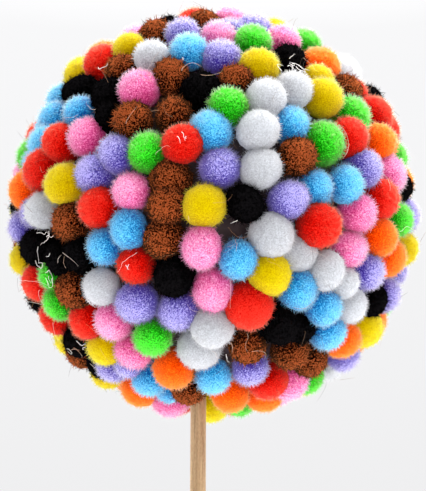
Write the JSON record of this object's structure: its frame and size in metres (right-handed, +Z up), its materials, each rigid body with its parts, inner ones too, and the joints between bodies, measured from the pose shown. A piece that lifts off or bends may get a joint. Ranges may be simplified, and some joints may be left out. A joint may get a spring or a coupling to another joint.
{
  "type": "ball of small craft pompoms on a wooden stick",
  "caption": "Ball covered all over with small fuzzy pompoms in mixed bright colours, glued side by side, on a plain round wooden stick.",
  "frame": {"origin": "centre of the stick's lower end", "axes": "+Z up along the stick into the ball; -Y is the front of the ball, +X its right"},
  "size_m": [0.0992, 0.0994, 0.1993],
  "materials": {
    "pompom_pile": "soft cut pile in ten plain dyed colours: red, orange, yellow, green, blue, lavender, pink, brown, black and white",
    "stick_wood": "bare sanded wood with a straight fine grain"
  },
  "bodies": {
    "root": {"pompom_ball": "pompom_pile", "stick": "stick_wood"}
  },
  "joints": []
}
